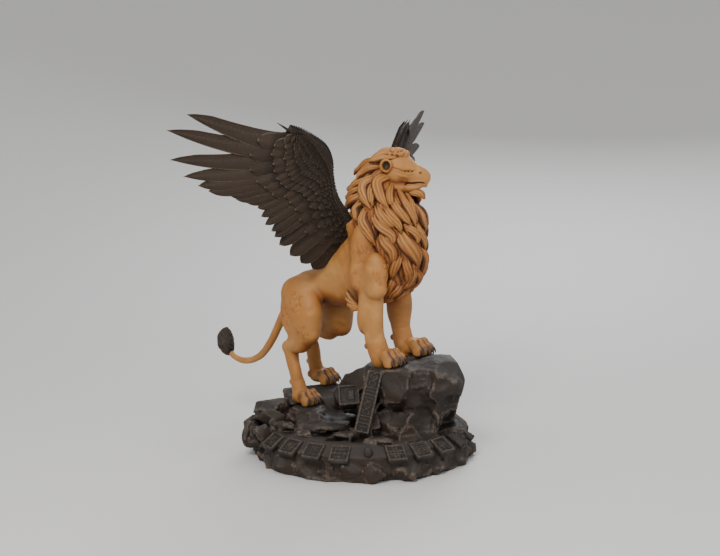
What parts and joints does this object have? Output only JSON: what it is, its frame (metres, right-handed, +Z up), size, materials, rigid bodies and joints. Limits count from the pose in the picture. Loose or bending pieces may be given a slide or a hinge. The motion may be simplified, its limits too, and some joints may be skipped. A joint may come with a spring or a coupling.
{
  "type": "griffin statue",
  "caption": "Standing griffin with spread wings, eagle's head and lion's mane on a ruined round stone plinth with carved tiles; a painted resin display figure.",
  "frame": {"origin": "centre of the plinth's underside, on the surface it stands on", "axes": "+X the way the griffin faces, +Y the griffin's left, +Z up"},
  "size_m": [0.2618, 0.333, 0.2857],
  "materials": {
    "griffin_paint": "satin painted resin, tawny body, dark brown wings, claws and tail tuft",
    "stone_paint": "matt painted resin, dark grey-brown stone with dry-brushed edges"
  },
  "bodies": {
    "root": {"griffin": "griffin_paint", "plinth": "stone_paint"}
  },
  "joints": []
}
